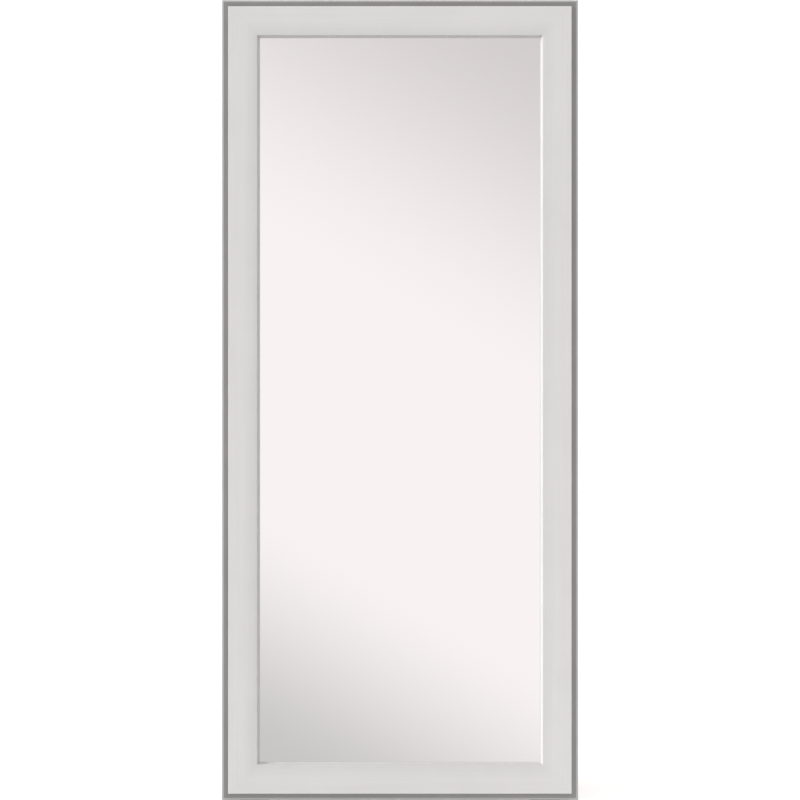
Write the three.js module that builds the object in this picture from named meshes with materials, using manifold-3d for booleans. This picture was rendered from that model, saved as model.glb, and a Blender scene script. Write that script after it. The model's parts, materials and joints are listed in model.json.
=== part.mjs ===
// A framed full-length floor mirror on a folding easel leg, in millimetres with +Z up.
// The mirror faces -Y and leans back. Four mitred rails hold the glass, its safety film and a
// backing board. A ladder-shaped leg hangs from two butt hinges on a rail across the back, and a
// two-link folding stay on each side stops it when it opens.
// The origin is on the floor, under the middle of the object's box.

import * as THREE from "three";
import { mergeVertices } from "three/addons/utils/BufferGeometryUtils.js";
import Module from "manifold-3d";

const wasm = await Module();
wasm.setup();

// ---------- Driving dimensions ----------
const FRAME_W = 735;
const FRAME_H = 1651;
const RAIL_W = 78.5; // from the outer edge to the sight edge, down at the glass
const RAIL_DEPTH = 28;
const REBATE_W = 17;
const REBATE_DEPTH = 18; // from the back plane to the underside of the lip
const GLASS_W = 609.6;
const GLASS_H = 1524;
const GLASS_T = 4;
const FILM_T = 0.4;
const FILM_INSET = 1;
const BOARD_T = 5;
const GAP = 0.3; // between faces that touch on the real object
const LEAN = THREE.MathUtils.degToRad(8); // of the mirror, back from upright
const LEG_OPEN = THREE.MathUtils.degToRad(16); // between the mirror's back and the open leg
const HINGE_Z = 1250; // height of the leg's hinge axis up the mirror
const BATTEN_T = 18;
const LEG_T = 17;
const STILE_W = 36;
const STILE_X = 260; // middle of a leg stile from the centre line
const STAY_Z = 770; // height of the stay's pivot up the mirror
const ROUND = 24; // sides of a plain round piece

// ---------- Sizes that follow ----------
const REBATE_WALL = RAIL_W - REBATE_W;
const GLASS_BACK = REBATE_DEPTH - GAP - GLASS_T;
const FILM_BACK = GLASS_BACK - GAP - FILM_T;
const BOARD_BACK = FILM_BACK - GAP - BOARD_T;
const BATTEN_FACE = GAP + BATTEN_T;
const LEAF_T = 1.8;
const KNUCKLE_R = 3.4;
const PIN_R = 1.6;
const HINGE_Y = BATTEN_FACE + GAP + 2.4; // hinge axis behind the back plane
const LEG_REAR = BATTEN_FACE - HINGE_Y; // the leg's rear face, from the hinge axis
const LEG_FRONT = LEG_REAR - LEG_T;
const LEG_TOP = -4;
const SPLAY = LEG_OPEN - LEAN; // of the open leg from upright
const FOOT_RISE = 1.6; // of the mirror's lower back edge over the floor

// ---------- Solids ----------
function solidOf(geometry) {
  const bare = geometry.index ? geometry.toNonIndexed() : geometry.clone();
  bare.deleteAttribute("normal");
  bare.deleteAttribute("uv");
  const merged = mergeVertices(bare, 1e-4);
  return new wasm.Manifold(
    new wasm.Mesh({
      numProp: 3,
      vertProperties: merged.attributes.position.array,
      triVerts: new Uint32Array(merged.index.array),
    }),
  );
}

function geometryOf(solid) {
  const mesh = solid.getMesh();
  const geometry = new THREE.BufferGeometry();
  geometry.setAttribute("position", new THREE.BufferAttribute(mesh.vertProperties, 3));
  geometry.setIndex(new THREE.BufferAttribute(mesh.triVerts, 1));
  geometry.computeVertexNormals();
  return geometry;
}

function join(...pieces) {
  return geometryOf(pieces.map(solidOf).reduce((whole, piece) => whole.add(piece)));
}

function cut(body, ...tools) {
  return geometryOf(tools.map(solidOf).reduce((whole, tool) => whole.subtract(tool), solidOf(body)));
}

const inOrder = (a, b) => (a < b ? [a, b] : [b, a]);

// A box from its lowest to its highest corner.
function block(low, high) {
  const size = high.map((value, i) => value - low[i]);
  const middle = high.map((value, i) => (value + low[i]) / 2);
  return new THREE.BoxGeometry(...size).translate(...middle);
}

// A round bar along X from x0 to x1, around the line at y, z.
function barX(radius, x0, x1, y = 0, z = 0, sides = ROUND) {
  const length = Math.abs(x1 - x0);
  return new THREE.CylinderGeometry(radius, radius, length, sides)
    .rotateZ(Math.PI / 2)
    .translate((x0 + x1) / 2, y, z);
}

// A round bar along Y from y0 to y1, around the line at x, z.
function barY(radius, y0, y1, x = 0, z = 0, sides = ROUND) {
  const length = Math.abs(y1 - y0);
  return new THREE.CylinderGeometry(radius, radius, length, sides).translate(x, (y0 + y1) / 2, z);
}

// A flat outline drawn in Y and Z, made solid between two X values.
function plateX(outline, ...ends) {
  const [x0, x1] = inOrder(...ends);
  return new THREE.ExtrudeGeometry(outline, { depth: x1 - x0, bevelEnabled: false, curveSegments: 8 })
    .applyMatrix4(new THREE.Matrix4().makeBasis(
      new THREE.Vector3(0, 1, 0),
      new THREE.Vector3(0, 0, 1),
      new THREE.Vector3(1, 0, 0),
    ))
    .translate(x0, 0, 0);
}

function outlineOf(points) {
  return new THREE.Shape(points.map(([a, b]) => new THREE.Vector2(a, b)));
}

function turned(profile, sides = ROUND) {
  return new THREE.LatheGeometry(profile.map(([r, y]) => new THREE.Vector2(r, y)), sides);
}

// ---------- Materials ----------
const material = (color, roughness, metalness) =>
  new THREE.MeshStandardMaterial({ color, roughness, metalness });
const MOULDING = material(0xd9d8d6, 0.45, 0.15);
const SILVERED = material(0xf2f2f2, 0.03, 1);
const FILM = material(0x9fb4c4, 0.5, 0);
const HARDBOARD = material(0x8a6244, 0.85, 0);
const PINE = material(0xd2b48c, 0.6, 0);
const ZINC = material(0xb9bcc0, 0.35, 0.9);
const RUBBER = material(0x1d1d1e, 0.8, 0);

function piece(name, geometry, finish, parent) {
  const mesh = new THREE.Mesh(geometry, finish);
  mesh.name = name;
  parent.add(mesh);
  return mesh;
}

function groupAt(parent, x, y, z) {
  const group = new THREE.Group();
  group.position.set(x, y, z);
  parent.add(group);
  return group;
}

const SIDES = [["left", -1], ["right", 1]];

// ---------- Frames of reference ----------
const mirror = new THREE.Group();
// The panel's own frame: X to the right, Y behind its back plane, Z up it from its lower edge.
const panel = groupAt(mirror, 0, 0, FOOT_RISE);
panel.rotation.x = -LEAN;
const leg = groupAt(panel, 0, HINGE_Y, HINGE_Z);
leg.rotation.x = LEG_OPEN;

// ---------- Mitred moulding ----------
// The section of a rail: u runs in from the outer edge, and depth towards the front.
function mouldingSection() {
  const bead = { end: 4.1, low: 20.2, high: 21.2 };
  const step = { end: 13.4, height: 21.8, sag: 1.2 };
  const flatEnd = 40;
  const lip = { crown: 72, edge: 73.6, high: 27.3, wall: 75.4, low: 21, foot: 18.7 };
  const section = new THREE.Shape();
  section.moveTo(0, 0);
  section.lineTo(REBATE_WALL, 0);
  section.lineTo(REBATE_WALL, REBATE_DEPTH);
  section.lineTo(RAIL_W, REBATE_DEPTH);
  section.lineTo(RAIL_W, lip.foot);
  section.quadraticCurveTo(lip.wall + 0.9, lip.foot + 0.2, lip.wall, lip.low);
  section.lineTo(lip.edge, lip.high - 1);
  section.quadraticCurveTo(lip.edge - 0.4, lip.high, lip.crown, lip.high);
  section.quadraticCurveTo(58, RAIL_DEPTH, flatEnd, RAIL_DEPTH);
  section.lineTo(step.end + 0.7, RAIL_DEPTH);
  section.lineTo(step.end, RAIL_DEPTH - 0.7);
  section.lineTo(step.end, step.height);
  section.quadraticCurveTo((bead.end + step.end) / 2, step.height - step.sag, bead.end, bead.high);
  section.quadraticCurveTo(0.2, bead.high, 0, bead.low);
  section.closePath();
  return section;
}

// A rail along X with both ends mitred, its outer edge `reach` below the panel's middle.
function railGeometry(length, reach) {
  const rail = new THREE.ExtrudeGeometry(mouldingSection(), {
    depth: length,
    bevelEnabled: false,
    curveSegments: 5,
  });
  const mitreGap = GAP * Math.SQRT1_2;
  const points = rail.attributes.position;
  for (let i = 0; i < points.count; i++) {
    const inset = points.getX(i) + mitreGap;
    points.setZ(i, points.getZ(i) < length / 2 ? inset : length - inset);
  }
  return rail
    .applyMatrix4(new THREE.Matrix4().makeBasis(
      new THREE.Vector3(0, 0, 1),
      new THREE.Vector3(0, -1, 0),
      new THREE.Vector3(1, 0, 0),
    ))
    .translate(-length / 2, 0, -reach);
}

const BATTEN_LOW = HINGE_Z - LEG_TOP;
const BATTEN_H = 45;
const BATTEN_L = 690;
const BATTEN_SCREW_X = 335;
const BATTEN_SCREWS_Z = [BATTEN_LOW + 12, BATTEN_LOW + 33];
const WOOD_SCREW = { r: 2.2, headR: 4.4, headH: 2.4, length: 32 };

function addFrame() {
  for (const [name, length, reach, turn] of [
    ["rail_bottom", FRAME_W, FRAME_H / 2, 0],
    ["rail_top", FRAME_W, FRAME_H / 2, Math.PI],
    ["rail_left", FRAME_H, FRAME_W / 2, Math.PI / 2],
    ["rail_right", FRAME_H, FRAME_W / 2, -Math.PI / 2],
  ]) {
    let geometry = railGeometry(length, reach).rotateY(turn).translate(0, 0, FRAME_H / 2);
    const side = { rail_left: -1, rail_right: 1 }[name];
    if (side) {
      const pilots = BATTEN_SCREWS_Z.map((z) =>
        barY(WOOD_SCREW.r + GAP, 1, -(WOOD_SCREW.length - BATTEN_FACE) - GAP, side * BATTEN_SCREW_X, z, 12));
      geometry = cut(geometry, ...pilots);
    }
    piece(name, geometry, MOULDING, panel);
  }
}

// ---------- Glass, film and backing board ----------
// All three stand on the bottom rail's rebate. The film stops short of the glass's edges.
function addGlazing() {
  const sheet = (inset, back, thickness) => block(
    [inset - GLASS_W / 2, -back - thickness, REBATE_WALL + GAP + inset],
    [GLASS_W / 2 - inset, -back, REBATE_WALL + GAP + GLASS_H - inset],
  );
  piece("mirror_glass", sheet(0, GLASS_BACK, GLASS_T), SILVERED, panel);
  piece("safety_film", sheet(FILM_INSET, FILM_BACK, FILM_T), FILM, panel);
  piece("backing_board", sheet(0, BOARD_BACK, BOARD_T), HARDBOARD, panel);
}

// ---------- Clips, corner braces and floor pads ----------
const CLIP_W = 16;

// An offset clip: a foot on the rail's back, a drop into the rebate and a nose on the board.
function clipGeometry() {
  const t = 1.5;
  const drop = REBATE_WALL + 0.6;
  const foot = REBATE_WALL - 24;
  const nose = drop + 13;
  const seat = -BOARD_BACK + GAP;
  const outline = outlineOf([
    [GAP, foot], [GAP + t, foot], [GAP + t, drop + t], [seat + t, drop + t],
    [seat + t, nose], [seat, nose], [seat, drop], [GAP, drop],
  ]);
  const clip = plateX(outline, -CLIP_W / 2, CLIP_W / 2);
  return cut(clip, barY(2.3, -1, 4, 0, foot + 9, 12));
}

function addClips() {
  const sideHeights = [["low", 220], ["middle", 830], ["high", 1430]];
  const places = SIDES.flatMap(([side, sign]) =>
    sideHeights.map(([level, z]) => [`${side}_${level}`, sign * FRAME_W / 2, z, sign * -Math.PI / 2]));
  places.push(["bottom", 0, 0, 0], ["top", 0, FRAME_H, Math.PI]);
  for (const [label, x, z, turn] of places) {
    piece(`retaining_clip_${label}`, clipGeometry().rotateY(turn).translate(x, 0, z), ZINC, panel);
  }
}

const BRACE = { outer: 24, width: 16, reach: 60, t: 2, holes: [22, 50] };

function braceGeometry() {
  const { outer, width, reach, t, holes } = BRACE;
  const inner = outer + width;
  const end = outer + reach;
  const outline = outlineOf([
    [outer, outer], [end, outer], [end, inner], [inner, inner], [inner, end], [outer, end],
  ]);
  const line = outer + width / 2;
  for (const along of holes) {
    for (const [a, b] of [[outer + along, line], [line, outer + along]]) {
      outline.holes.push(new THREE.Path().absarc(a, b, 2.2, 0, 2 * Math.PI, true));
    }
  }
  return new THREE.ExtrudeGeometry(outline, { depth: t, bevelEnabled: false, curveSegments: 6 })
    .rotateX(Math.PI / 2)
    .translate(0, GAP + t, 0);
}

function addBraces() {
  const middle = new THREE.Vector3(FRAME_W / 2, 0, FRAME_H / 2);
  // The outline was drawn in X and Z from a lower left corner; each other corner is a turn of it.
  for (const [name, turn, x, z] of [
    ["bottom_left", 0, -1, -1],
    ["top_left", Math.PI / 2, -1, 1],
    ["top_right", Math.PI, 1, 1],
    ["bottom_right", -Math.PI / 2, 1, -1],
  ]) {
    const brace = braceGeometry().rotateY(turn).translate(x * middle.x, 0, middle.z * (1 + z));
    piece(`corner_brace_${name}`, brace, ZINC, panel);
  }
}

// The floor's height in the panel's frame, at a distance behind its back plane.
const floorAt = (y) => (y * Math.sin(LEAN) - FOOT_RISE) / Math.cos(LEAN);

function addFloorPads() {
  const front = 8 - RAIL_DEPTH;
  const back = -2;
  const wedge = outlineOf([[front, -GAP], [front, floorAt(front)], [back, floorAt(back)], [back, -GAP]]);
  for (const [side, sign] of SIDES) {
    piece(`floor_pad_${side}`, plateX(wedge, sign * 300 - 30, sign * 300 + 30), RUBBER, panel);
  }
}

// ---------- Hinge rail and its screws ----------
// A countersunk wood screw along Y, its head flush at y 0 and its point towards the front.
function woodScrew() {
  const { r, headR, headH, length } = WOOD_SCREW;
  return turned([[0, -length], [r, -length + 4], [r, -headH], [headR, 0], [0, 0]], 16);
}

function addHingeRail() {
  const batten = block(
    [-BATTEN_L / 2, GAP, BATTEN_LOW],
    [BATTEN_L / 2, BATTEN_FACE, BATTEN_LOW + BATTEN_H],
  );
  const places = SIDES.flatMap(([side, sign]) =>
    BATTEN_SCREWS_Z.map((z, i) => [`${side}_${["lower", "upper"][i]}`, sign * BATTEN_SCREW_X, z]));
  const { r, headR, headH } = WOOD_SCREW;
  const hole = turned([
    [0, -BATTEN_FACE - 1], [r + GAP, -BATTEN_FACE - 1], [r + GAP, -headH], [headR + GAP, 0],
    [headR + GAP, 1], [0, 1],
  ], 16);
  const holes = places.map(([, x, z]) => hole.clone().translate(x, BATTEN_FACE, z));
  piece("hinge_rail", cut(batten, ...holes), PINE, panel);
  for (const [label, x, z] of places) {
    piece(`hinge_rail_screw_${label}`, woodScrew().translate(x, BATTEN_FACE, z), ZINC, panel);
  }
}

// ---------- Butt hinges ----------
const HINGE_X = 150;
const HINGE_W = 60;
const LEAF_H = 28;
const KNUCKLE_HALF = 10; // half the middle knuckle's length

// A leaf around the hinge axis at the origin. It reaches up (+1) or down (-1), and owns either
// the middle knuckle or the two outer ones.
function leafGeometry(up, ownsMiddle) {
  const half = HINGE_W / 2;
  const innerFace = -2.4;
  const plate = up > 0
    ? block([-half, innerFace, 0], [half, innerFace + LEAF_T, LEAF_H])
    : block([-half, innerFace, -LEAF_H], [half, innerFace + LEAF_T, 0]);
  const edge = GAP / 2;
  const middle = [-KNUCKLE_HALF + edge, KNUCKLE_HALF - edge];
  const outer = [[-half, -KNUCKLE_HALF - edge], [KNUCKLE_HALF + edge, half]];
  const own = ownsMiddle ? [middle] : outer;
  const other = ownsMiddle ? outer : [middle];
  const clear = KNUCKLE_R + GAP;
  const notches = other.map(([a, b]) =>
    block([a - 2 * edge, -clear, -clear], [b + 2 * edge, clear, clear]));
  const holes = [[-20, 12], [20, 12], [0, 20]].map(([x, z]) => barY(2.2, -4, 0, x, up * z, 12));
  const leaf = join(plate, ...own.map(([a, b]) => barX(KNUCKLE_R, a, b)));
  return cut(leaf, barX(PIN_R + GAP, -half - 1, half + 1, 0, 0, 16), ...notches, ...holes);
}

function addHinges() {
  for (const [side, sign] of SIDES) {
    const place = (geometry) => geometry.translate(sign * HINGE_X, 0, 0);
    const onPanel = groupAt(panel, 0, HINGE_Y, HINGE_Z);
    piece(`hinge_leaf_fixed_${side}`, place(leafGeometry(1, false)), ZINC, onPanel);
    piece(`hinge_pin_${side}`, place(barX(PIN_R, -HINGE_W / 2, HINGE_W / 2, 0, 0, 16)), ZINC, onPanel);
    piece(`hinge_leaf_moving_${side}`, place(leafGeometry(-1, true)), ZINC, leg);
  }
}

// ---------- Easel leg ----------
const STILE_INNER = STILE_X - STILE_W / 2;
const STILE_OUTER = STILE_X + STILE_W / 2;
const TOP_RAIL_H = 44;
const CROSS_RAIL = { z: -932, h: 38 };
const LEG_MIDDLE = (LEG_REAR + LEG_FRONT) / 2;
const LEG_BOLT = { r: 2.5, headR: 5, headH: 3, length: 60 };
const SHOE_T = 9;

// The height of the hinge axis over the floor, and the floor's height in the leg's own frame.
const AXIS_RISE = FOOT_RISE - HINGE_Y * Math.sin(LEAN) + HINGE_Z * Math.cos(LEAN);
const legFloorAt = (y) => -(AXIS_RISE + y * Math.sin(SPLAY)) / Math.cos(SPLAY);

function addLeg() {
  const stileFoot = legFloorAt(LEG_FRONT) + SHOE_T;
  const railAt = (low, high) =>
    block([-STILE_INNER + GAP, LEG_FRONT, low], [STILE_INNER - GAP, LEG_REAR, high]);
  const boltHeights = [["top", LEG_TOP - TOP_RAIL_H / 2], ["cross", CROSS_RAIL.z]];
  const { r, headR, headH, length } = LEG_BOLT;
  const boltHole = (sign, z) => join(
    barX(r + GAP, sign * (STILE_OUTER - length - GAP), sign * (STILE_OUTER + 1), LEG_MIDDLE, z, 16),
    barX(headR + GAP, sign * (STILE_OUTER - headH - GAP), sign * (STILE_OUTER + 1), LEG_MIDDLE, z, 16),
  );
  for (const [side, sign] of SIDES) {
    const [low, high] = inOrder(sign * STILE_INNER, sign * STILE_OUTER);
    const stile = block([low, LEG_FRONT, stileFoot + GAP], [high, LEG_REAR, LEG_TOP]);
    piece(`leg_stile_${side}`, cut(stile, ...boltHeights.map(([, z]) => boltHole(sign, z))), PINE, leg);
    const shoe = outlineOf([
      [LEG_FRONT, stileFoot], [LEG_FRONT, legFloorAt(LEG_FRONT)],
      [LEG_REAR, legFloorAt(LEG_REAR)], [LEG_REAR, stileFoot],
    ]);
    piece(`leg_shoe_${side}`, plateX(shoe, low, high), RUBBER, leg);
    for (const [level, z] of boltHeights) {
      const bolt = join(
        barX(r, sign * (STILE_OUTER - length), sign * (STILE_OUTER - 0.2), LEG_MIDDLE, z, 16),
        barX(headR, sign * (STILE_OUTER - headH), sign * (STILE_OUTER - 0.2), LEG_MIDDLE, z, 16),
      );
      piece(`leg_bolt_${level}_${side}`, bolt, ZINC, leg);
    }
  }
  const [topHoles, crossHoles] = boltHeights.map(([, z]) => SIDES.map(([, sign]) => boltHole(sign, z)));
  piece("leg_top_rail", cut(railAt(LEG_TOP - TOP_RAIL_H, LEG_TOP), ...topHoles), PINE, leg);
  const { z, h } = CROSS_RAIL;
  piece("leg_cross_rail", cut(railAt(z - h / 2, z + h / 2), ...crossHoles), PINE, leg);
}

// ---------- Folding stays ----------
// Flat layers outward from a stile's outer face: each is its near and far side.
const LAYER = { anchor: [0.3, 1.8], short: [3.5, 5.5], long: [5.9, 7.9], ear: [8.3, 10.3] };
const LINK_W = 15;
const RIVET_R = 2.4;
const PIVOT = new THREE.Vector2(9.5, STAY_Z); // the bracket's pivot, in the panel's Y and Z
// The anchor on the stile, in the leg's Y and Z.
const ANCHOR = new THREE.Vector2(LEG_MIDDLE, STAY_Z + 34 - HINGE_Z);
const HINGE_POINT = new THREE.Vector2(HINGE_Y, HINGE_Z);
const ORIGIN = new THREE.Vector2();
const anchorOpen = ANCHOR.clone().rotateAround(ORIGIN, LEG_OPEN).add(HINGE_POINT);
const anchorFolded = ANCHOR.clone().add(HINGE_POINT);
const SPAN_OPEN = anchorOpen.distanceTo(PIVOT);
const SPAN_FOLDED = anchorFolded.distanceTo(PIVOT);
// Straight when the leg is open, and doubled back on itself when the leg is folded.
const LONG_LINK = (SPAN_OPEN + SPAN_FOLDED) / 2;
const SHORT_LINK = (SPAN_OPEN - SPAN_FOLDED) / 2;

// A flat bar with round ends along Y, from a hole at the origin to one at `length`.
function linkGeometry(length, x0, x1) {
  const half = LINK_W / 2;
  const outline = new THREE.Shape();
  outline.absarc(length, 0, half, -Math.PI / 2, Math.PI / 2, false);
  outline.absarc(0, 0, half, Math.PI / 2, (3 * Math.PI) / 2, false);
  outline.closePath();
  for (const y of [0, length]) {
    outline.holes.push(new THREE.Path().absarc(y, 0, RIVET_R + GAP, 0, 2 * Math.PI, true));
  }
  return plateX(outline, x0, x1);
}

// A rivet along X through the layers from x0 to x1, with a low head past x0. It has one past x1
// too, unless it is flush there.
function rivetGeometry(x0, x1, flush = false) {
  const clear = Math.sign(x1 - x0) * GAP;
  const head = Math.sign(x1 - x0) * 1.1;
  const disc = (from, to) => barX(4.2, from, to, 0, 0, 16);
  const firstHead = disc(x0 - clear, x0 - clear - head);
  if (flush) return join(barX(RIVET_R, x0 - clear - head, x1, 0, 0, 12), firstHead);
  const shank = barX(RIVET_R, x0 - clear - head, x1 + clear + head, 0, 0, 12);
  return join(shank, firstHead, disc(x1 + clear, x1 + clear + head));
}

// The plate on a stile that takes the short link's rivet, with a screw hole above and below.
function anchorPlate(...ends) {
  const [low, high] = inOrder(...ends);
  const halfW = 7.5;
  const halfH = 24;
  const plate = block([low, -halfW, -halfH], [high, halfW, halfH]);
  const holes = [-17, 17].map((z) => barX(2.2, low - 1, high + 1, 0, z, 12));
  return cut(plate, ...holes);
}

function stayBracket(sign) {
  const [near, far] = LAYER.ear.map((x) => sign * (STILE_OUTER + x));
  const [low, high] = inOrder(near, sign * (STILE_OUTER + 52));
  const half = 13;
  const ear = new THREE.Shape();
  ear.moveTo(GAP, -half);
  ear.lineTo(PIVOT.x, -8);
  ear.absarc(PIVOT.x, 0, 8, -Math.PI / 2, Math.PI / 2, false);
  ear.lineTo(GAP, half);
  ear.closePath();
  ear.holes.push(new THREE.Path().absarc(PIVOT.x, 0, RIVET_R + GAP, 0, 2 * Math.PI, true));
  const flange = block([low, GAP, -half], [high, GAP + 2, half]);
  const holes = [-7, 7].map((z) => barY(2.2, -1, 4, sign * (STILE_OUTER + 42), z, 12));
  return cut(join(plateX(ear, near, far), flange), ...holes);
}

function addStays() {
  for (const [side, sign] of SIDES) {
    const out = (x) => sign * (STILE_OUTER + x);
    piece(`stay_bracket_${side}`, stayBracket(sign).translate(0, 0, STAY_Z), ZINC, panel);
    const pivotRivet = rivetGeometry(out(LAYER.long[0]), out(LAYER.ear[1]));
    piece(`stay_pivot_rivet_${side}`, pivotRivet.translate(0, PIVOT.x, PIVOT.y), ZINC, panel);

    const longLink = groupAt(panel, 0, PIVOT.x, PIVOT.y);
    longLink.rotation.x = anchorOpen.clone().sub(PIVOT).angle();
    piece(`stay_long_link_${side}`, linkGeometry(LONG_LINK, ...LAYER.long.map(out)), ZINC, longLink);
    const elbow = rivetGeometry(out(LAYER.short[0]), out(LAYER.long[1]));
    piece(`stay_elbow_rivet_${side}`, elbow.translate(0, LONG_LINK, 0), ZINC, longLink);
    const shortLink = groupAt(longLink, 0, LONG_LINK, 0);
    piece(`stay_short_link_${side}`, linkGeometry(SHORT_LINK, ...LAYER.short.map(out)), ZINC, shortLink);

    // The anchor's rivet rides on the short link, a hair clear of its plate on the stile. It is
    // flush outside, where the long link passes.
    const anchorRivet = rivetGeometry(...LAYER.short.map(out), true);
    piece(`stay_anchor_rivet_${side}`, anchorRivet.translate(0, SHORT_LINK, 0), ZINC, shortLink);
    const plate = anchorPlate(...LAYER.anchor.map(out)).translate(0, ANCHOR.x, ANCHOR.y);
    piece(`stay_anchor_plate_${side}`, plate, ZINC, leg);
  }
}

// ---------- Hanging rings ----------
const RING = { r: 15, wire: 1.75, barrelR: 3.9, x: 334, z: 1492 };
const STRAP_HALF_W = 10;

function strapGeometry() {
  const { barrelR, wire } = RING;
  const plate = block([-STRAP_HALF_W, GAP, -44], [STRAP_HALF_W, GAP + 1.5, 0]);
  const barrel = barX(barrelR, -STRAP_HALF_W, STRAP_HALF_W, GAP + barrelR, 0, 20);
  const bore = barX(wire + 0.5, -STRAP_HALF_W - 1, STRAP_HALF_W + 1, GAP + barrelR, 0, 16);
  const holes = [-25, -37].map((z) => barY(2.2, -1, 4, 0, z, 12));
  return cut(join(plate, barrel), bore, ...holes);
}

// A D ring hanging from its bar at the origin.
function ringGeometry() {
  const { r, wire } = RING;
  const hoop = new THREE.TorusGeometry(r, wire, 10, 40).rotateX(Math.PI / 2);
  const upper = block([-2 * r, -r, 0], [2 * r, r, 2 * r]);
  const corner = (x) => new THREE.SphereGeometry(wire, 12, 8).translate(x, 0, 0);
  return join(cut(hoop, upper), barX(wire, -r, r, 0, 0, 12), corner(-r), corner(r));
}

function addHangers() {
  for (const [side, sign] of SIDES) {
    piece(`hanger_strap_${side}`, strapGeometry().translate(sign * RING.x, 0, RING.z), ZINC, panel);
    const swing = groupAt(panel, sign * RING.x, GAP + RING.barrelR, RING.z);
    swing.rotation.x = LEAN; // it hangs plumb
    piece(`hanger_ring_${side}`, ringGeometry(), ZINC, swing);
  }
}

addFrame();
addGlazing();
addClips();
addBraces();
addFloorPads();
addHingeRail();
addHinges();
addLeg();
addStays();
addHangers();

// The origin goes under the middle of the whole object.
const box = new THREE.Box3().setFromObject(mirror, true);
panel.position.y = -(box.min.y + box.max.y) / 2;

export default mirror;
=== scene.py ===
"""Looks of a framed floor mirror on a folding easel leg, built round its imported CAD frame.

Lengths are in metres. The mirror faces -Y and leans back. Pieces on the leaning panel are built in
the panel's own frame: X across, Y behind its back plane and Z up it from its lower edge.
"""

import json
import math

import bmesh
import bpy
from mathutils import Matrix, Vector


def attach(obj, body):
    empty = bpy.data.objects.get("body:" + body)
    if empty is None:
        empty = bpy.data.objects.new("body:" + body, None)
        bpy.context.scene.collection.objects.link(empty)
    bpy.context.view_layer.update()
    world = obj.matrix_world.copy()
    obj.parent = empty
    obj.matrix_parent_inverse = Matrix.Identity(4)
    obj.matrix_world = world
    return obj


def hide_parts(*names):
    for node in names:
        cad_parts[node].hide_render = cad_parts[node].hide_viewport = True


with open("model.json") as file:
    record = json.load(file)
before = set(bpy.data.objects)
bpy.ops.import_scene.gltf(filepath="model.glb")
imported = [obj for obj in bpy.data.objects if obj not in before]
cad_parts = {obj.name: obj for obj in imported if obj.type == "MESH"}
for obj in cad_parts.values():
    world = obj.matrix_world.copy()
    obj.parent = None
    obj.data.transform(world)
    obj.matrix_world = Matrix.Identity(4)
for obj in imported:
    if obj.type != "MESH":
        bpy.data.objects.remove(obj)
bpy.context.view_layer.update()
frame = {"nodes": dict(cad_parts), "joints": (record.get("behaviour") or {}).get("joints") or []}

MM = 0.001
SIDES = (("left", -1), ("right", 1))
RAILS = ("rail_bottom", "rail_top", "rail_left", "rail_right")
nodes = frame["nodes"]


# ---------- Places read from the frame ----------
def tilt_of(node):
    """How far a node's broad flat side is turned about X from upright."""
    normal = max(nodes[node].data.polygons, key=lambda face: face.area).normal
    return math.atan(normal.z / normal.y)


def box_in(node, matrix):
    """A node's lowest and highest corner in another frame."""
    inverse = matrix.inverted()
    points = [inverse @ vertex.co for vertex in nodes[node].data.vertices]
    low = Vector([min(point[i] for point in points) for i in range(3)])
    high = Vector([max(point[i] for point in points) for i in range(3)])
    return low, high


def panel_frame():
    """The leaning panel's own frame, and its width, depth and height."""
    turn = Matrix.Rotation(tilt_of("mirror_glass"), 4, "X")
    boxes = [box_in(name, turn) for name in RAILS]
    low = Vector([min(box[0][i] for box in boxes) for i in range(3)])
    high = Vector([max(box[1][i] for box in boxes) for i in range(3)])
    corner = Vector(((low.x + high.x) / 2, high.y, low.z))
    return turn @ Matrix.Translation(corner), high - low


def joint_place(name):
    joint = next(joint for joint in frame["joints"] if joint["name"] == name)
    return Vector(joint["pos_m"])


PANEL, (WIDTH, DEPTH, HEIGHT) = panel_frame()
LEG = Matrix.Translation(joint_place("easel_fold")) @ Matrix.Rotation(tilt_of("leg_stile_left"), 4, "X")


# ---------- Materials ----------
MIRROR_TINT = (0.95, 0.95, 0.95)
# Painted shade: the face paint darkens between these two places, in from the outer edge, towards the lip.
LIP_SHADE_START = 48 * MM  # from the moulding's outer edge, as LIP_SHADE_END
LIP_SHADE_END = 72 * MM
GROWTH_LINES = 9  # in the range of the wood's growth pattern


def principled(name, colour, roughness, metallic=0.0):
    material = bpy.data.materials.new(name)
    material.use_nodes = True
    shader = material.node_tree.nodes["Principled BSDF"]
    shader.inputs["Base Color"].default_value = (*colour, 1)
    shader.inputs["Roughness"].default_value = roughness
    shader.inputs["Metallic"].default_value = metallic
    return material, shader


def noise(material, scale, stretch=(1, 1, 1), detail=3, distortion=0.0):
    """A noise pattern of the object's own place, with about scale features in a metre.

    A stretch below 1 draws them out along that axis.
    """
    tree = material.node_tree
    place = tree.nodes.new("ShaderNodeTexCoord")
    mapping = tree.nodes.new("ShaderNodeMapping")
    mapping.inputs["Scale"].default_value = stretch
    pattern = tree.nodes.new("ShaderNodeTexNoise")
    pattern.inputs["Scale"].default_value = scale
    pattern.inputs["Detail"].default_value = detail
    pattern.inputs["Distortion"].default_value = distortion
    tree.links.new(place.outputs["Object"], mapping.inputs["Vector"])
    tree.links.new(mapping.outputs["Vector"], pattern.inputs["Vector"])
    return pattern.outputs["Fac"]


def ramp(material, source, stops):
    """Colours along a pattern: stops are (place, colour)."""
    node = material.node_tree.nodes.new("ShaderNodeValToRGB")
    node.color_ramp.interpolation = "EASE"
    for _ in stops[2:]:
        node.color_ramp.elements.new(0.5)
    for element, (place, colour) in zip(node.color_ramp.elements, stops):
        element.position = place
        element.color = (*colour, 1)
    material.node_tree.links.new(source, node.inputs["Fac"])
    return node.outputs["Color"]


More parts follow.
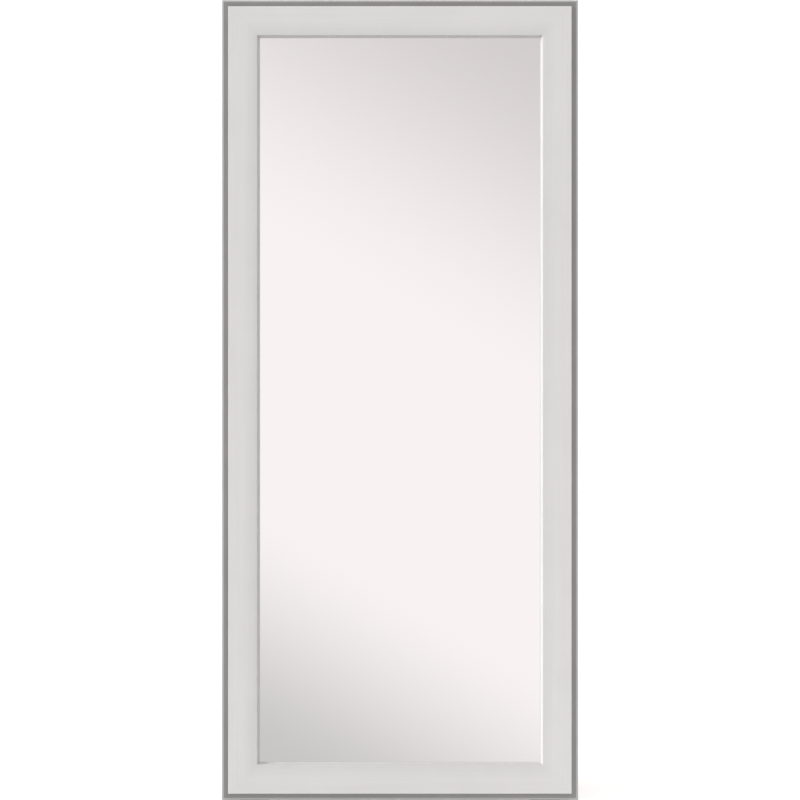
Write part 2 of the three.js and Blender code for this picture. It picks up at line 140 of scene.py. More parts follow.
def math_node(material, operation, first, second):
    node = material.node_tree.nodes.new("ShaderNodeMath")
    node.operation = operation
    for socket, value in zip(node.inputs, (first, second)):
        if isinstance(value, (int, float)):
            socket.default_value = value
        else:
            material.node_tree.links.new(value, socket)
    return node.outputs["Value"]


def mixed(material, first, share, second):
    """This share of one pattern and the rest of another."""
    return math_node(
        material, "ADD",
        math_node(material, "MULTIPLY", first, share),
        math_node(material, "MULTIPLY", second, 1 - share),
    )


def spread(material, source, low, high, start=0.3, end=0.7, kind="LINEAR"):
    """A pattern's range from start to end, spread from low to high."""
    node = material.node_tree.nodes.new("ShaderNodeMapRange")
    node.interpolation_type = kind
    node.inputs["From Min"].default_value = start
    node.inputs["From Max"].default_value = end
    node.inputs["To Min"].default_value = low
    node.inputs["To Max"].default_value = high
    material.node_tree.links.new(source, node.inputs["Value"])
    return node.outputs["Result"]


def height_on(material, place_kind="Object"):
    """The Z of a place: the object's own, or in a world the direction's with Generated."""
    place = material.node_tree.nodes.new("ShaderNodeTexCoord")
    axes = material.node_tree.nodes.new("ShaderNodeSeparateXYZ")
    material.node_tree.links.new(place.outputs[place_kind], axes.inputs["Vector"])
    return axes.outputs["Z"]


def distance_out(material):
    """The distance from the object's own origin."""
    place = material.node_tree.nodes.new("ShaderNodeTexCoord")
    length = material.node_tree.nodes.new("ShaderNodeVectorMath")
    length.operation = "LENGTH"
    material.node_tree.links.new(place.outputs["Object"], length.inputs[0])
    return length.outputs["Value"]


def scaled_colour(material, colour, factor):
    node = material.node_tree.nodes.new("ShaderNodeVectorMath")
    node.operation = "SCALE"
    material.node_tree.links.new(colour, node.inputs["Vector"])
    material.node_tree.links.new(factor, node.inputs["Scale"])
    return node.outputs["Vector"]


def bump(material, shader, height, distance, strength=1.0):
    node = material.node_tree.nodes.new("ShaderNodeBump")
    node.inputs["Distance"].default_value = distance
    node.inputs["Strength"].default_value = strength
    material.node_tree.links.new(height, node.inputs["Height"])
    material.node_tree.links.new(node.outputs["Normal"], shader.inputs["Normal"])


def tones(material, pattern, colour, start, end, darkest, lightest):
    """A colour that a pattern varies between two factors of it."""
    return ramp(material, pattern, [
        (place, tuple(channel * factor for channel in colour))
        for place, factor in ((start, darkest), (end, lightest))
    ])


def feed(material, shader, colour=None, roughness=None):
    """Links patterns to the shader's colour and roughness."""
    for name, source in (("Base Color", colour), ("Roughness", roughness)):
        if source:
            material.node_tree.links.new(source, shader.inputs[name])


def lacquer(name, colour, roughness, contrast, metallic=0.0, lip_shade=0.0):
    """A satin paint wiped along a moulding, so that faint streaks run along its X.

    The lip shade is painted shade: how much darker the colour is made at the lip than in the middle of the
    face.
    """
    material, shader = principled(name, colour, roughness, metallic)
    streaks = noise(material, 260, stretch=(0.012, 1, 1), detail=6)
    mottle = noise(material, 14, detail=2)
    pattern = mixed(material, streaks, 0.6, mottle)
    paint = tones(material, pattern, colour, 0.35, 0.65, 1 - contrast, 1 + contrast)
    if lip_shade:
        # Painted shade: the colour darkens towards the lip, in from the outer edge.
        depth = spread(material, height_on(material), 1, 1 - lip_shade, start=LIP_SHADE_START, end=LIP_SHADE_END)
        paint = scaled_colour(material, paint, depth)
    feed(material, shader, paint, spread(material, streaks, roughness - 0.05, roughness + 0.05))
    shader.inputs["Coat Weight"].default_value = 0.15
    shader.inputs["Coat Roughness"].default_value = 0.3
    bump(material, shader, pattern, 0.05 * MM)
    return material


def wood(name, pale, dark, grain):
    """Planed softwood whose grain runs along one axis: growth lines, fine fibres and satin pores."""
    material, shader = principled(name, pale, 0.5)
    growth_stretch, fibre_stretch = (
        [along if axis == grain else 1 for axis in "XYZ"] for along in (0.035, 0.02)
    )
    growth = noise(material, 26, stretch=growth_stretch, detail=1, distortion=0.4)
    lines = math_node(material, "PINGPONG", math_node(material, "MULTIPLY", growth, GROWTH_LINES), 1)
    fibres = noise(material, 700, stretch=fibre_stretch, detail=2)
    pattern = mixed(material, lines, 0.68, fibres)
    middle = tuple((a + b) / 2 for a, b in zip(pale, dark))
    colour = ramp(material, pattern, [(0.1, pale), (0.62, middle), (0.95, dark)])
    feed(material, shader, colour, spread(material, fibres, 0.42, 0.62))
    bump(material, shader, fibres, 0.08 * MM)
    return material


def board(name, colour, scale, contrast, roughness, depth):
    """A pressed fibre board: short tangled fibres and soft blotches."""
    material, shader = principled(name, colour, roughness)
    fibres = noise(material, scale, stretch=(1, 1, 0.6), detail=6, distortion=1.2)
    blotches = noise(material, 9, detail=2)
    pattern = mixed(material, fibres, 0.7, blotches)
    tone = tones(material, pattern, colour, 0.33, 0.67, 1 - contrast, 1 + contrast)
    feed(material, shader, tone, spread(material, fibres, roughness - 0.1, roughness + 0.06))
    bump(material, shader, fibres, depth)
    return material


def plated(name, colour, roughness):
    """Zinc-plated steel: spangled in tone, with fine rolling marks in its gloss."""
    material, shader = principled(name, colour, roughness, 1.0)
    spangle = noise(material, 160, detail=2, distortion=0.6)
    marks = noise(material, 900, stretch=(0.08, 1, 1), detail=2)
    tone = tones(material, spangle, colour, 0.3, 0.7, 0.86, 1.1)
    feed(material, shader, tone, spread(material, marks, roughness - 0.07, roughness + 0.1))
    bump(material, shader, marks, 0.01 * MM)
    return material


def moulded_rubber(name):
    """Black rubber with a fine moulded grain and a grey bloom."""
    material, shader = principled(name, (0.022, 0.022, 0.023), 0.75)
    grain = noise(material, 1500, detail=3)
    bloom = noise(material, 60, detail=2)
    tone = ramp(material, bloom, [(0.35, (0.018, 0.018, 0.019)), (0.7, (0.04, 0.04, 0.041))])
    feed(material, shader, tone, spread(material, bloom, 0.65, 0.85))
    bump(material, shader, grain, 0.1 * MM)
    return material


def silvered_glass(name):
    """Float glass over silver: a clean mirror whose only fault is a trace of roller wave."""
    material, shader = principled(name, MIRROR_TINT, 0.012, 1.0)
    wave = noise(material, 3, stretch=(1, 1, 0.5), detail=1)
    feed(material, shader, roughness=spread(material, wave, 0.008, 0.02))
    return material


def vinyl_film(name):
    """Blue safety film with a fine pressed weave."""
    material, shader = principled(name, (0.09, 0.14, 0.2), 0.45)
    weave = noise(material, 400, detail=2)
    feed(material, shader, ramp(material, weave, [(0.35, (0.08, 0.125, 0.18)), (0.65, (0.1, 0.155, 0.22))]))
    bump(material, shader, weave, 0.02 * MM)
    return material


# The face paint carries painted shade, darker towards the lip.
FACE_PAINT = lacquer("face_paint", (0.67, 0.656, 0.649), 0.42, 0.018, lip_shade=0.08)
BAND_PAINT = lacquer("band_paint", (0.315, 0.31, 0.308), 0.38, 0.05, metallic=0.7)
SHOULDER_PAINT = lacquer("shoulder_paint", (0.52, 0.515, 0.51), 0.4, 0.03, metallic=0.7)
RAW_BACK = board("raw_moulding", (0.5, 0.36, 0.22), 420, 0.12, 0.75, 0.05 * MM)
HARDBOARD = board("hardboard", (0.26, 0.15, 0.08), 650, 0.22, 0.55, 0.06 * MM)
EARLY_WOOD, LATE_WOOD = (0.66, 0.46, 0.26), (0.5, 0.29, 0.13)
PINE_UP = wood("pine_up", EARLY_WOOD, LATE_WOOD, "Z")
PINE_ACROSS = wood("pine_across", EARLY_WOOD, LATE_WOOD, "X")
ZINC = plated("zinc_plate", (0.56, 0.565, 0.575), 0.3)
PRESSED_STEEL = plated("pressed_steel", (0.44, 0.44, 0.445), 0.36)
RUBBER = moulded_rubber("black_rubber")
MIRROR = silvered_glass("silvered_glass")
FILM = vinyl_film("vinyl_film")


# ---------- Pieces ----------
SHARP_ANGLE = 35
WELD_REACH = 0.001 * MM


def add_piece(name, mesh, matrix, body, sharp_angle=SHARP_ANGLE):
    piece = bpy.data.objects.new(name, mesh)
    bpy.context.scene.collection.objects.link(piece)
    piece.matrix_world = matrix
    mesh.shade_smooth()
    mesh.set_sharp_from_angle(angle=math.radians(sharp_angle))
    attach(piece, body)
    return piece


def mesh_from(bm, name, *materials):
    bmesh.ops.recalc_face_normals(bm, faces=bm.faces)
    mesh = bpy.data.meshes.new(name)
    bm.to_mesh(mesh)
    bm.free()
    for material in materials:
        mesh.materials.append(material)
    return mesh


def finish_node(node, material, radius, segments):
    """Gives a CAD node its material and, with modifiers, rounded edges."""
    piece = nodes[node]
    piece.data.materials.clear()
    piece.data.materials.append(material)
    weld = piece.modifiers.new("weld", "WELD")
    weld.merge_threshold = WELD_REACH
    if radius:
        bevel = piece.modifiers.new("bevel", "BEVEL")
        bevel.width = radius
        bevel.segments = segments
        bevel.limit_method = "ANGLE"
        bevel.angle_limit = math.radians(SHARP_ANGLE)
        bevel.use_clamp_overlap = True
    normals = piece.modifiers.new("normals", "WEIGHTED_NORMAL")
    normals.keep_sharp = True


# ---------- Moulded rails ----------
# Places on the section in mm, in from the outer edge or forward from the back.
REBATE_WALL = 61.5
REBATE_DEPTH = 18
SIGHT_EDGE = 78.5
SHOULDER_END = 4.1
SHOULDER_HIGH = 21.2
BAND_END = 13.4
FLAT_END = 40
EDGE_FRONT = 20.2
BACK_ROUND = 0.8
MITRE_GAP = 0.01
ZONES = ("face", "band", "shoulder", "raw")


def curve(start, control, end, steps):
    """Points of a quadratic curve after its start."""
    points = []
    for i in range(1, steps + 1):
        t = i / steps
        points.append(tuple(
            (1 - t) ** 2 * a + 2 * t * (1 - t) * b + t * t * c for a, b, c in zip(start, control, end)))
    return points


def moulding_section(depth):
    """The closed section as (u, d, zone) in mm: u runs in from the outer edge, d to the front.

    The zone is the finish of the side that starts at the point.
    """
    foot, foot_bend = (SIGHT_EDGE, 18.7), (76.3, 18.9)
    cove = (75.4, 21)
    edge, edge_bend = (73.6, 26.3), (73.2, 27.3)
    crown, crown_bend = (72, 27.3), (58, depth)
    flat_end, flat_start = (FLAT_END, depth), (BAND_END + 1.6, depth)
    step_top, step_bend, step_edge = (BAND_END + 0.9, depth), (BAND_END, depth), (BAND_END, depth - 0.9)
    step_foot, band_bend = (BAND_END, 21.8), ((SHOULDER_END + BAND_END) / 2, 20.6)
    bead_edge, bead_bend = (SHOULDER_END, SHOULDER_HIGH), (0.2, SHOULDER_HIGH)
    outer = (0, EDGE_FRONT)
    raw = [(BACK_ROUND, 0), (REBATE_WALL, 0), (REBATE_WALL, REBATE_DEPTH)]
    face = [(SIGHT_EDGE, REBATE_DEPTH), foot] + curve(foot, foot_bend, cove, steps=12)
    face += [edge] + curve(edge, edge_bend, crown, steps=8) + curve(crown, crown_bend, flat_end, steps=20)
    face += [flat_start, step_top] + curve(step_top, step_bend, step_edge, steps=5)[:-1]
    band = [step_edge, step_foot] + curve(step_foot, band_bend, bead_edge, steps=10)[:-1]
    shoulder = [bead_edge] + curve(bead_edge, bead_bend, outer, steps=10) + [(0, BACK_ROUND)]
    zones = (("raw", raw), ("face", face), ("band", band), ("shoulder", shoulder))
    return [(u, d, zone) for zone, points in zones for u, d in points]


def rail_mesh(name, length):
    """A mitred rail along X. Its outer edge is at Z 0 and its back at Y 0."""
    section = moulding_section(DEPTH / MM)
    bm = bmesh.new()
    ends = []
    for side in (-1, 1):
        ends.append([
            bm.verts.new((side * (length / 2 - (u + MITRE_GAP) * MM), -d * MM, u * MM))
            for u, d, _ in section
        ])
    for i, (_, _, zone) in enumerate(section):
        following = (i + 1) % len(section)
        side = bm.faces.new((ends[0][i], ends[0][following], ends[1][following], ends[1][i]))
        side.material_index = ZONES.index(zone)
    for end in ends:
        bm.faces.new(end).material_index = ZONES.index("raw")
    return mesh_from(bm, name, FACE_PAINT, BAND_PAINT, SHOULDER_PAINT, RAW_BACK)


def add_rails():
    middle = PANEL @ Matrix.Translation((0, 0, HEIGHT / 2))
    for side, length, reach, turn in (
        ("bottom", WIDTH, HEIGHT / 2, 0),
        ("top", WIDTH, HEIGHT / 2, 180),
        ("left", HEIGHT, WIDTH / 2, 90),
        ("right", HEIGHT, WIDTH / 2, -90),
    ):
        place = Matrix.Rotation(math.radians(turn), 4, "Y") @ Matrix.Translation((0, 0, -reach))
        mesh = rail_mesh(f"moulded_rail_{side}", length)
        rail = add_piece(f"moulded_rail_{side}", mesh, middle @ place, "mirror_panel", 25)
        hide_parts(f"rail_{side}")


# ---------- Screws, bolts and rings ----------
LATHE_SIDES = 32


def lathe(profile):
    """A closed solid of revolution about Z. The profile runs from the axis back to the axis."""
    sides = LATHE_SIDES
    bm = bmesh.new()
    rings = []
    for radius, z in profile:
        if radius == 0:
            rings.append([bm.verts.new((0, 0, z))] * sides)
            continue
        angles = [2 * math.pi * i / sides for i in range(sides)]
        rings.append([bm.verts.new((radius * math.cos(a), radius * math.sin(a), z)) for a in angles])
    for lower, upper in zip(rings, rings[1:]):
        for i in range(sides):
            j = (i + 1) % sides
            corners = dict.fromkeys((lower[i], lower[j], upper[j], upper[i]))
            bm.faces.new(list(corners))
    return bm


def prism(outline, low, high):
    """An upright solid over an outline, from one Z to another."""
    bm = bmesh.new()
    ends = [[bm.verts.new((x, y, z)) for x, y in outline] for z in (low, high)]
    for i in range(len(outline)):
        j = (i + 1) % len(outline)
        bm.faces.new((ends[0][i], ends[0][j], ends[1][j], ends[1][i]))
    for end in ends:
        bm.faces.new(end)
    return bm


def cross_outline(reach, half):
    """A four-armed driver recess."""
    quarter = [(reach, -half), (reach, half), (half, half)]
    points = []
    for turn in range(4):
        for x, y in quarter:
            for _ in range(turn):
                x, y = -y, x
            points.append((x, y))
    return points


def hex_outline(radius):
    """A hexagon key's recess."""
    return [(radius * math.cos(a), radius * math.sin(a)) for a in (math.pi * i / 3 for i in range(6))]


def recessed(name, body, outline, floor, top):
    """A turned head with a driver recess cut from above it down to its floor."""
    solid = bpy.data.objects.new("solid", mesh_from(body, name, ZINC))
    tool = bpy.data.objects.new("tool", mesh_from(prism(outline, floor, top), "tool", ZINC))
    for obj in (solid, tool):
        bpy.context.scene.collection.objects.link(obj)
    boolean = solid.modifiers.new("recess", "BOOLEAN")
    boolean.operation = "DIFFERENCE"
    boolean.solver = "EXACT"
    boolean.object = tool
    evaluated = solid.evaluated_get(bpy.context.evaluated_depsgraph_get())
    mesh = bpy.data.meshes.new_from_object(evaluated)
    mesh.name = name
    for obj in (solid, tool):
        bpy.data.objects.remove(obj)
    return mesh


def scaled(points):
    """A profile in mm, in metres."""
    return [(r * MM, z * MM) for r, z in points]


def pan_screw_mesh(name, head):
    """A pan-head screw with its seat at Z 0 and a head this high, in mm."""
    shank = [(0, -12), (1.2, -10), (1.5, -8), (1.5, 0)]
    dome = [(3.5, 0), (3.75, 0.12), (3.75, 0.45), (3.45, 0.7), (2.8, 0.88), (1.6, 0.98), (0, 1)]
    profile = scaled(shank + [(radius, rise * head) for radius, rise in dome])
    recess = cross_outline(2 * MM, 0.42 * MM)
    return recessed(name, lathe(profile), recess, floor=0.4 * head * MM, top=2 * head * MM)


def countersunk_screw_mesh(radius, head_radius, length):
    """A countersunk screw with its flat head's face at Z 0. Its sizes are in mm."""
    profile = scaled([
        (0, -length), (radius, -length + 4), (radius, -head_radius + radius),
        (head_radius, -0.35), (head_radius - 0.15, 0), (0, 0),
    ])
    recess = cross_outline(2.3 * MM, 0.45 * MM)
    return recessed("countersunk_screw", lathe(profile), recess, floor=-1.9 * MM, top=1 * MM)


def furniture_bolt_mesh(length):
    """A flat-headed furniture bolt of a length in mm, with a hexagon socket and its face at Z 0."""
    profile = scaled([
        (0, -length), (1.9, -length + 1.5), (2.5, -length + 3), (2.5, -2.8), (4.4, -2.8),
        (4.9, -2.4), (4.9, -0.5), (4.4, 0), (0, 0),
    ])
    return recessed("furniture_bolt", lathe(profile), hex_outline(2.2 * MM), floor=-2.1 * MM, top=1 * MM)


def add_hardware(name, mesh, within, place, outward, body):
    """A zinc-plated piece at a place in another frame, with its Z pointing outward there."""
    turn = Vector(outward).to_track_quat("Z", "Y").to_matrix().to_4x4()
    return add_piece(name, mesh, within @ Matrix.Translation(place) @ turn, body)


def outer_side(low, high, sign):
    """The middle of a box's side that faces away from the centre line."""
    return Vector((high.x if sign > 0 else low.x, (low.y + high.y) / 2, (low.z + high.z) / 2))


BEHIND = (0, 1, 0)
PAN_HEAD = 2.45  # a usual pan head's height, in mm
LOW_HEAD = 1.1  # one that a link can pass over, in mm
CLIP_HOLE = 9 * MM  # from a clip's outer end
BRACE_HOLES = (22 * MM, 50 * MM)  # along an arm, from the brace's corner
BRACE_MIDDLE = 8 * MM  # of an arm, from its outer edge
BRACKET_FLANGE = 2 * MM
BRACKET_HOLE = 10 * MM  # from the flange's outer end
BRACKET_PITCH = 7 * MM  # of each hole from the middle
STRAP_THICKNESS = 1.5 * MM
STRAP_HOLES = (7 * MM, 19 * MM)  # from the strap's lower end
HINGE_HOLES = ((-20 * MM, 12 * MM), (20 * MM, 12 * MM), (0, 20 * MM))  # from the leaf's middle, on the axis
LEAF_REAR = -0.6 * MM  # from the hinge axis
ANCHOR_PITCH = 17 * MM  # of each hole from the middle
BATTEN_SCREW = (2.2, 4.4, 32)  # radius, head radius and length, in mm


def clip_holes():
    """Where each clip's screw sits on the panel, by name."""
    places = {}
    for node in nodes:
        if not node.startswith("retaining_clip_"):
            continue
        low, high = box_in(node, PANEL)
        middle = (low + high) / 2
        where = node.removeprefix("retaining_clip_").split("_")[0]
        x = {"left": low.x + CLIP_HOLE, "right": high.x - CLIP_HOLE}.get(where, middle.x)
        z = {"bottom": low.z + CLIP_HOLE, "top": high.z - CLIP_HOLE}.get(where, middle.z)
        places[node.replace("retaining_clip", "clip")] = (x, high.y, z)
    return places


def brace_holes():
    """Where the screws of the corner braces sit on the panel, by name."""
    places = {}
    for up, z_sign in (("bottom", 1), ("top", -1)):
        for side, x_sign in SIDES:
            low, high = box_in(f"corner_brace_{up}_{side}", PANEL)
            corner_x = low.x if side == "left" else high.x
            corner_z = low.z if up == "bottom" else high.z
            for i, along in enumerate(BRACE_HOLES):
                for j, (across, rise) in enumerate(((along, BRACE_MIDDLE), (BRACE_MIDDLE, along))):
                    place = (corner_x - x_sign * across, high.y, corner_z + z_sign * rise)
                    places[f"brace_{up}_{side}_{i}{j}"] = place
    return places


def plate_holes():
    """Where the screws of the stay brackets and hanger straps sit on the panel, by name."""
    places = {}
    for side, sign in SIDES:
        low, high = box_in(f"stay_bracket_{side}", PANEL)
        x = sign * (max(abs(low.x), abs(high.x)) - BRACKET_HOLE)
        for i, pitch in enumerate((-BRACKET_PITCH, BRACKET_PITCH)):
            places[f"bracket_{side}_{i}"] = (x, low.y + BRACKET_FLANGE, (low.z + high.z) / 2 + pitch)
        low, high = box_in(f"hanger_strap_{side}", PANEL)
        for i, rise in enumerate(STRAP_HOLES):
            places[f"strap_{side}_{i}"] = ((low.x + high.x) / 2, low.y + STRAP_THICKNESS, low.z + rise)
    return places


def add_panel_screws(mesh):
    for label, place in (clip_holes() | brace_holes() | plate_holes()).items():
        add_hardware(f"screw_{label}", mesh, PANEL, place, BEHIND, "mirror_panel")


def add_hinge_screws(mesh):
    hinge_in_panel = PANEL.inverted() @ joint_place("easel_fold")
    axis_frame = PANEL @ Matrix.Translation((0, hinge_in_panel.y, hinge_in_panel.z))
    for side, _ in SIDES:
        for kind, within, up, body in (
            ("fixed", axis_frame, 1, "mirror_panel"), ("moving", LEG, -1, "easel_leg"),
        ):
            low, high = box_in(f"hinge_leaf_{kind}_{side}", within)
            for i, (x, z) in enumerate(HINGE_HOLES):
                hole = ((low.x + high.x) / 2 + x, LEAF_REAR, up * z)
                add_hardware(f"screw_hinge_{kind}_{side}_{i}", mesh, within, hole, BEHIND, body)


def add_anchor_screws(mesh):
    for side, sign in SIDES:
        middle = outer_side(*box_in(f"stay_anchor_plate_{side}", LEG), sign)
        for i, pitch in enumerate((-ANCHOR_PITCH, ANCHOR_PITCH)):
            place = middle + Vector((0, 0, pitch))
            add_hardware(f"screw_anchor_{side}_{i}", mesh, LEG, place, (sign, 0, 0), "easel_leg")


def add_leg_bolts():
    low, high = box_in("leg_bolt_top_left", LEG)
    mesh = furniture_bolt_mesh((high.x - low.x) / MM)
    for side, sign in SIDES:
        for level in ("top", "cross"):
            node = f"leg_bolt_{level}_{side}"
            place = outer_side(*box_in(node, LEG), sign)
            bolt = add_hardware(f"furniture_bolt_{level}_{side}", mesh, LEG, place, (sign, 0, 0), "easel_leg")
            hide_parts(node)


def add_batten_screws():
    mesh = countersunk_screw_mesh(*BATTEN_SCREW)
    for side, _ in SIDES:
        for level in ("lower", "upper"):
            node = f"hinge_rail_screw_{side}_{level}"
            low, high = box_in(node, PANEL)
            place = ((low.x + high.x) / 2, high.y, (low.z + high.z) / 2)
            screw = add_hardware(f"batten_screw_{side}_{level}", mesh, PANEL, place, BEHIND, "mirror_panel")
            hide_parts(node)


# The D rings' sizes in mm: their centre line, its corners and its wire.
RING_RADIUS = 15
RING_CORNER = 2.5
WIRE_RADIUS = 1.75
BAR_STEPS = 4
CORNER_STEPS = 8
ARC_STEPS = 40
WIRE_SIDES = 16


def ring_path():
    """The closed centre line of a D ring in X and Z, in mm, hanging from its straight bar."""
    corner_x = math.sqrt((RING_RADIUS - RING_CORNER) ** 2 - RING_CORNER**2)
    swing = math.asin(RING_CORNER / (RING_RADIUS - RING_CORNER))
    bar = [(corner_x * t / BAR_STEPS, 0) for t in range(1 - BAR_STEPS, BAR_STEPS)]
    corner = []
    for i in range(CORNER_STEPS + 1):
        angle = math.pi / 2 - (math.pi / 2 + swing) * i / CORNER_STEPS
        corner.append((corner_x + RING_CORNER * math.cos(angle), RING_CORNER * (math.sin(angle) - 1)))
    arc = []
    for i in range(1, ARC_STEPS):
        angle = -swing - (math.pi - 2 * swing) * i / ARC_STEPS
        arc.append((RING_RADIUS * math.cos(angle), RING_RADIUS * math.sin(angle)))
    return bar + corner + arc + [(-x, z) for x, z in reversed(corner)]


def ring_mesh():
    """Round wire swept along the ring's centre line."""
    path = ring_path()
    bm = bmesh.new()
    loops = []
    for i, (x, z) in enumerate(path):
        before, after = Vector(path[i - 1]), Vector(path[(i + 1) % len(path)])
        along = (after - before).normalized()
        loop = []
        for k in range(WIRE_SIDES):
            angle = 2 * math.pi * k / WIRE_SIDES
            out, side = WIRE_RADIUS * math.cos(angle), WIRE_RADIUS * math.sin(angle)
            loop.append(bm.verts.new(((x - along.y * out) * MM, side * MM, (z + along.x * out) * MM)))
        loops.append(loop)
    for i, loop in enumerate(loops):
        following = loops[(i + 1) % len(loops)]
        for k in range(WIRE_SIDES):
            j = (k + 1) % WIRE_SIDES
            bm.faces.new((loop[k], loop[j], following[j], following[k]))
    return mesh_from(bm, "d_ring", ZINC)


def add_rings():
    mesh = ring_mesh()
    for side, _ in SIDES:
        place = Matrix.Translation(joint_place(f"ring_swing_{side}"))
        ring = add_piece(f"d_ring_{side}", mesh, place, f"ring_{side}", 60)
        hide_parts(f"hanger_ring_{side}")


# ---------- Finishes of the CAD nodes ----------
def finish_nodes():
    """The first rule that a node's name starts with gives its material, and its edges' radius in mm."""
    rules = (
        ("mirror_glass", MIRROR, 0.6, 2),
        ("safety_film", FILM, 0, 2),
        ("backing_board", HARDBOARD, 0.5, 2),
        ("hinge_rail", PINE_ACROSS, 1.8, 4),
        ("leg_stile", PINE_UP, 2.4, 4),
        ("leg_top_rail", PINE_ACROSS, 1.8, 4),
        ("leg_cross_rail", PINE_ACROSS, 1.8, 4),
        ("floor_pad", RUBBER, 0.5, 2),
        ("leg_shoe", RUBBER, 1.2, 3),
        ("retaining_clip", PRESSED_STEEL, 0.35, 2),
        ("corner_brace", PRESSED_STEEL, 0.4, 2),
        ("stay_elbow_rivet", ZINC, 0.6, 3),
        ("stay_pivot_rivet", ZINC, 0.6, 3),
        ("stay_anchor_rivet", ZINC, 0.3, 2),
        ("hinge_pin", ZINC, 0.3, 2),
        ("hinge_leaf", ZINC, 0.25, 2),
        ("hanger_strap", ZINC, 0.3, 2),
        ("stay_", ZINC, 0.35, 2),
    )
    replaced = ("rail_", "hanger_ring", "leg_bolt", "hinge_rail_screw")
    for node in nodes:
        if not node.startswith(replaced):
            _, material, radius, segments = next(rule for rule in rules if node.startswith(rule[0]))
            finish_node(node, material, radius * MM, segments)


# ---------- Camera, stage and light ----------
LENS = 200
SENSOR = 36
CLIP_END = 200
WHITE = (1, 1, 1, 1)
DISC_SIDES = 96
FLOOR_RADIUS = 60
FLOOR_GLOW_START = 0.4  # from the object's middle, as FLOOR_GLOW_END
FLOOR_GLOW_END = 2.2
BOUNCE_DROP = 0.1 * MM
CARD_DISTANCE = 3.0
CARD_CLEAR = 1.35  # the radius where the board starts to fade
CARD_EDGE = 2.6
BAND_TURN = math.radians(30)
BAND_COLOURS = (  # on the board, from the lower corner to the upper one
    (0.1, (0.566, 0.56, 0.55)),
    (0.335, (0.939, 0.888, 0.888)),
    (0.565, (0.939, 0.888, 0.888)),
    (0.925, (0.64, 0.605, 0.602)),
)
WALL_LIGHT = 0.7
CEILING_LIGHT = 0.82
BACKDROP_LIGHT = 1.05


def in_front(distance):
    """A frame before the middle of the panel, with its Z pointing away from it."""
    middle = PANEL @ Matrix.Translation((0, -distance, HEIGHT / 2))
    return middle @ Matrix.Rotation(math.pi / 2, 4, "X")


def add_camera():
    """Square to the panel, whose outer edges fill the picture's height."""
    distance = HEIGHT / 2 / (SENSOR / 2 / LENS)
    data = bpy.data.cameras.new("camera")
    data.lens = LENS
    data.sensor_width = SENSOR
    data.clip_end = CLIP_END
    camera = bpy.data.objects.new("camera", data)
    camera.matrix_world = in_front(EDGE_FRONT * MM + distance)
    bpy.context.scene.collection.objects.link(camera)
    bpy.context.scene.camera = camera
    return distance


def add_disc(name, radius, matrix, material):
    """A round board of the stage."""
    bm = bmesh.new()
    bmesh.ops.create_circle(bm, cap_ends=True, segments=DISC_SIDES, radius=radius)
    disc = bpy.data.objects.new(name, mesh_from(bm, name, material))
    disc.matrix_world = matrix
    bpy.context.scene.collection.objects.link(disc)
    return disc


def floor_paint(name, grey, near, far):
    """A matt paint that also glows, by one amount near the object and by another far from it."""
    material, shader = principled(name, (grey, grey, grey), 0.75)
    glow = spread(
        material, distance_out(material), near, far, FLOOR_GLOW_START, FLOOR_GLOW_END, kind="SMOOTHSTEP")
    shader.inputs["Emission Color"].default_value = WHITE
    material.node_tree.links.new(glow, shader.inputs["Emission Strength"])
    return material


def add_floor():
    """A pale floor that brightens away from the object into the white backdrop.

    The camera sees that disc only. A greyer one just below it lights the object and shows in the mirror.
    Its glow makes up for the object's own shadow.
    """
    seen = floor_paint("floor_paint", 0.92, near=0.12, far=0.6)
    floor = add_disc("floor", FLOOR_RADIUS, Matrix.Identity(4), seen)
    floor.visible_diffuse = False
    floor.visible_glossy = False
    floor.visible_shadow = False
    lower = Matrix.Translation((0, 0, -BOUNCE_DROP))
    grey = floor_paint("bounce_paint", 0.56, near=0.18, far=0)
    add_disc("floor_bounce", FLOOR_RADIUS, lower, grey).visible_camera = False


def band_light(distance):
    """Soft bands of light across a board that fades out towards its edge."""
    material = bpy.data.materials.new("reflected_bands")
    material.use_nodes = True
    tree = material.node_tree
    tree.nodes.clear()
    place = tree.nodes.new("ShaderNodeTexCoord")
    across = tree.nodes.new("ShaderNodeVectorMath")
    across.operation = "DOT_PRODUCT"
    across.inputs[1].default_value = (math.sin(BAND_TURN), math.cos(BAND_TURN), 0)
    tree.links.new(place.outputs["Object"], across.inputs[0])
    reach = (distance + CARD_DISTANCE) / distance
    along_bands = spread(material, across.outputs["Value"], 0, 1, start=-reach, end=reach)
    glow = tree.nodes.new("ShaderNodeEmission")
    glow.inputs["Strength"].default_value = 1 / MIRROR_TINT[0]
    tree.links.new(ramp(material, along_bands, BAND_COLOURS), glow.inputs["Color"])
    fade = spread(material, distance_out(material), 0, 1, start=CARD_CLEAR, end=CARD_EDGE)
    clear = tree.nodes.new("ShaderNodeBsdfTransparent")
    mix = tree.nodes.new("ShaderNodeMixShader")
    tree.links.new(fade, mix.inputs["Fac"])
    tree.links.new(glow.outputs["Emission"], mix.inputs[1])
    tree.links.new(clear.outputs["BSDF"], mix.inputs[2])
    out = tree.nodes.new("ShaderNodeOutputMaterial")
    tree.links.new(mix.outputs["Shader"], out.inputs["Surface"])
    return material


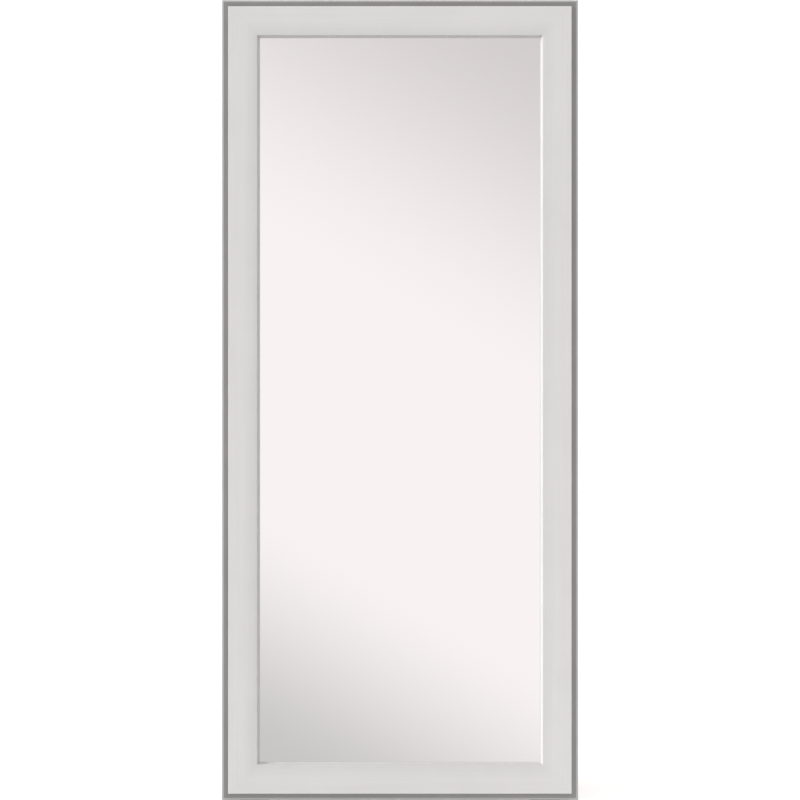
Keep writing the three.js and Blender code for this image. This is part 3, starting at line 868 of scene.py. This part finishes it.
def add_card(distance):
    """What the glass reflects: a round board in front of it that only gloss sees."""
    card = add_disc("reflected_card", CARD_EDGE, in_front(DEPTH + CARD_DISTANCE), band_light(distance))
    card.visible_camera = False
    card.visible_diffuse = False
    card.visible_shadow = False


def add_sun(name, towards, strength, softness, in_gloss):
    """A far, soft light, given by the direction it stands in from the object."""
    data = bpy.data.lights.new(name, "SUN")
    data.energy = strength
    data.angle = math.radians(softness)
    light = bpy.data.objects.new(name, data)
    light.matrix_world = (-Vector(towards)).to_track_quat("-Z", "Y").to_matrix().to_4x4()
    light.visible_glossy = in_gloss
    bpy.context.scene.collection.objects.link(light)


def add_room():
    """Even light that grows towards the ceiling, where the camera sees a white backdrop."""
    world = bpy.data.worlds.new("studio")
    bpy.context.scene.world = world
    world.use_nodes = True
    tree = world.node_tree
    room = tree.nodes["Background"]
    room.inputs["Color"].default_value = WHITE
    height = height_on(world, "Generated")
    rise = spread(world, height, WALL_LIGHT, CEILING_LIGHT, start=0, end=1, kind="SMOOTHSTEP")
    tree.links.new(rise, room.inputs["Strength"])
    backdrop = tree.nodes.new("ShaderNodeBackground")
    backdrop.inputs["Color"].default_value = WHITE
    backdrop.inputs["Strength"].default_value = BACKDROP_LIGHT
    rays = tree.nodes.new("ShaderNodeLightPath")
    mix = tree.nodes.new("ShaderNodeMixShader")
    tree.links.new(rays.outputs["Is Camera Ray"], mix.inputs["Fac"])
    tree.links.new(room.outputs["Background"], mix.inputs[1])
    tree.links.new(backdrop.outputs["Background"], mix.inputs[2])
    tree.links.new(mix.outputs["Shader"], tree.nodes["World Output"].inputs["Surface"])


distance = add_camera()
add_floor()
add_card(distance)
add_room()
add_sun("key", towards=(-0.927, -0.242, 0.286), strength=3.15, softness=17, in_gloss=False)
add_sun("rear", towards=(0.38, 0.67, 0.64), strength=1.2, softness=30, in_gloss=True)
add_rails()
finish_nodes()
pan_screw = pan_screw_mesh("pan_screw", PAN_HEAD)
add_panel_screws(pan_screw)
add_hinge_screws(pan_screw)
add_anchor_screws(pan_screw_mesh("low_screw", LOW_HEAD))
add_leg_bolts()
add_batten_screws()
add_rings()

bpy.context.scene.view_settings.view_transform = "Standard"
